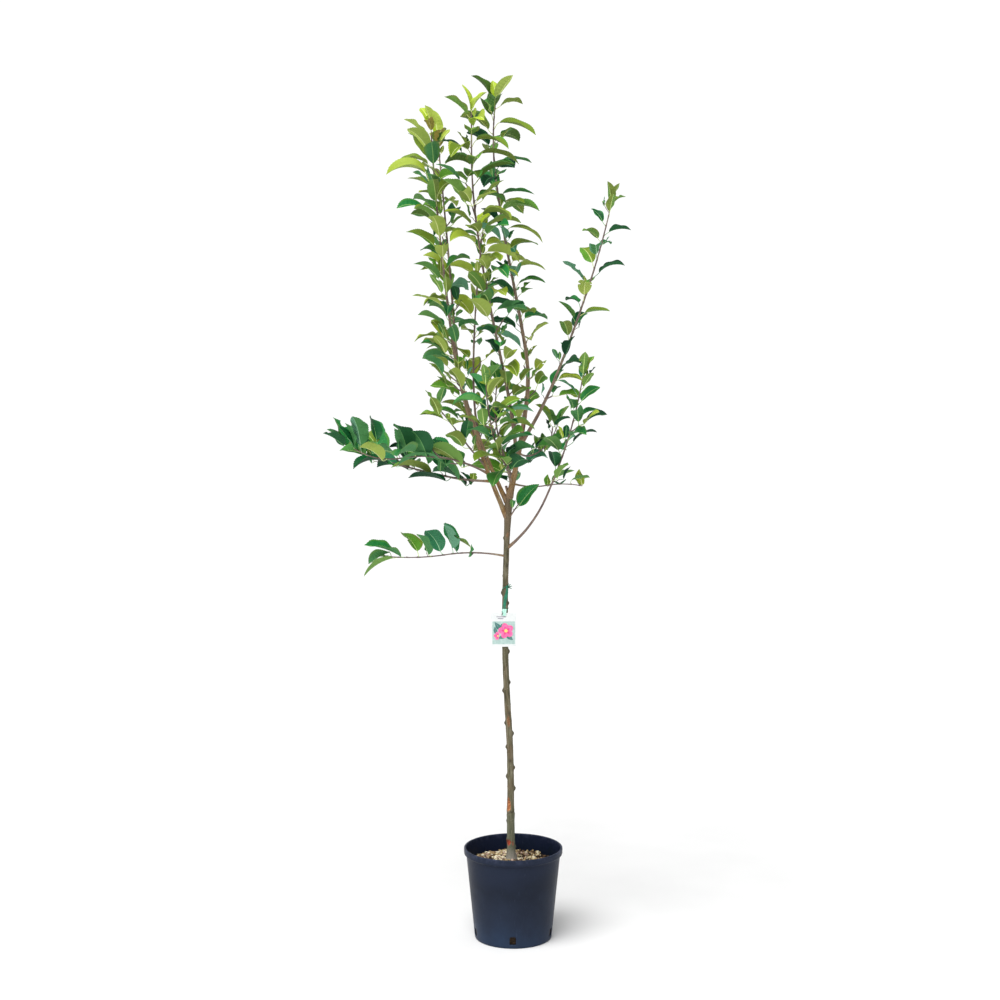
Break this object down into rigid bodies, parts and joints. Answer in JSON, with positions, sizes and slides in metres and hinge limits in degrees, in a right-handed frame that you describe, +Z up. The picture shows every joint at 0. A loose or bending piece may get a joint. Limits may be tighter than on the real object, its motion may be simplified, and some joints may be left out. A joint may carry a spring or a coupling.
{
  "type": "dwarf apple tree in a nursery pot",
  "caption": "Young grafted dwarf apple tree in leaf, with a slim bare trunk, long upright shoots over low side twigs and a plant label, in a round tapered pot.",
  "frame": {"origin": "centre of the pot's flat underside", "axes": "+Z up the trunk, -Z out of the underside, -Y the side that carries the label card"},
  "size_m": [0.8974, 0.6376, 2.5986],
  "materials": {
    "pot": "satin",
    "soil": "matte",
    "trunk_bark": "matte",
    "bough_bark": "matte",
    "leaves_high": "satin",
    "leaves_middle": "satin",
    "leaves_low": "satin",
    "label_tie": "gloss",
    "label_card": "satin"
  },
  "bodies": {
    "root": {"pot": "pot", "soil": "soil", "trunk": "trunk_bark", "label_tie": "label_tie", "label_card": "label_card", "bough_right": "bough_bark", "bough_left_outer": "bough_bark", "bough_left_inner": "bough_bark", "bough_centre": "bough_bark", "bough_middle": "bough_bark", "bough_far_right": "bough_bark", "bough_low_right": "bough_bark", "bough_right_twig": "bough_bark", "bough_low_left": "bough_bark", "bough_far_left": "bough_bark", "bough_upper_left": "bough_bark", "bough_left_side": "bough_bark", "bough_front": "bough_bark", "bough_back": "bough_bark", "bough_right_inner": "bough_bark", "bough_trunk_spur": "bough_bark", "leaves_right": "leaves_high", "leaves_left_outer": "leaves_high", "leaves_left_inner": "leaves_high", "leaves_centre": "leaves_high", "leaves_middle": "leaves_high", "leaves_far_right": "leaves_middle", "leaves_low_right": "leaves_middle", "leaves_right_twig": "leaves_low", "leaves_low_left": "leaves_low", "leaves_far_left": "leaves_low", "leaves_upper_left": "leaves_low", "leaves_left_side": "leaves_middle", "leaves_front": "leaves_low", "leaves_back": "leaves_low", "leaves_right_inner": "leaves_low", "leaves_trunk_spur": "leaves_low"}
  },
  "joints": []
}
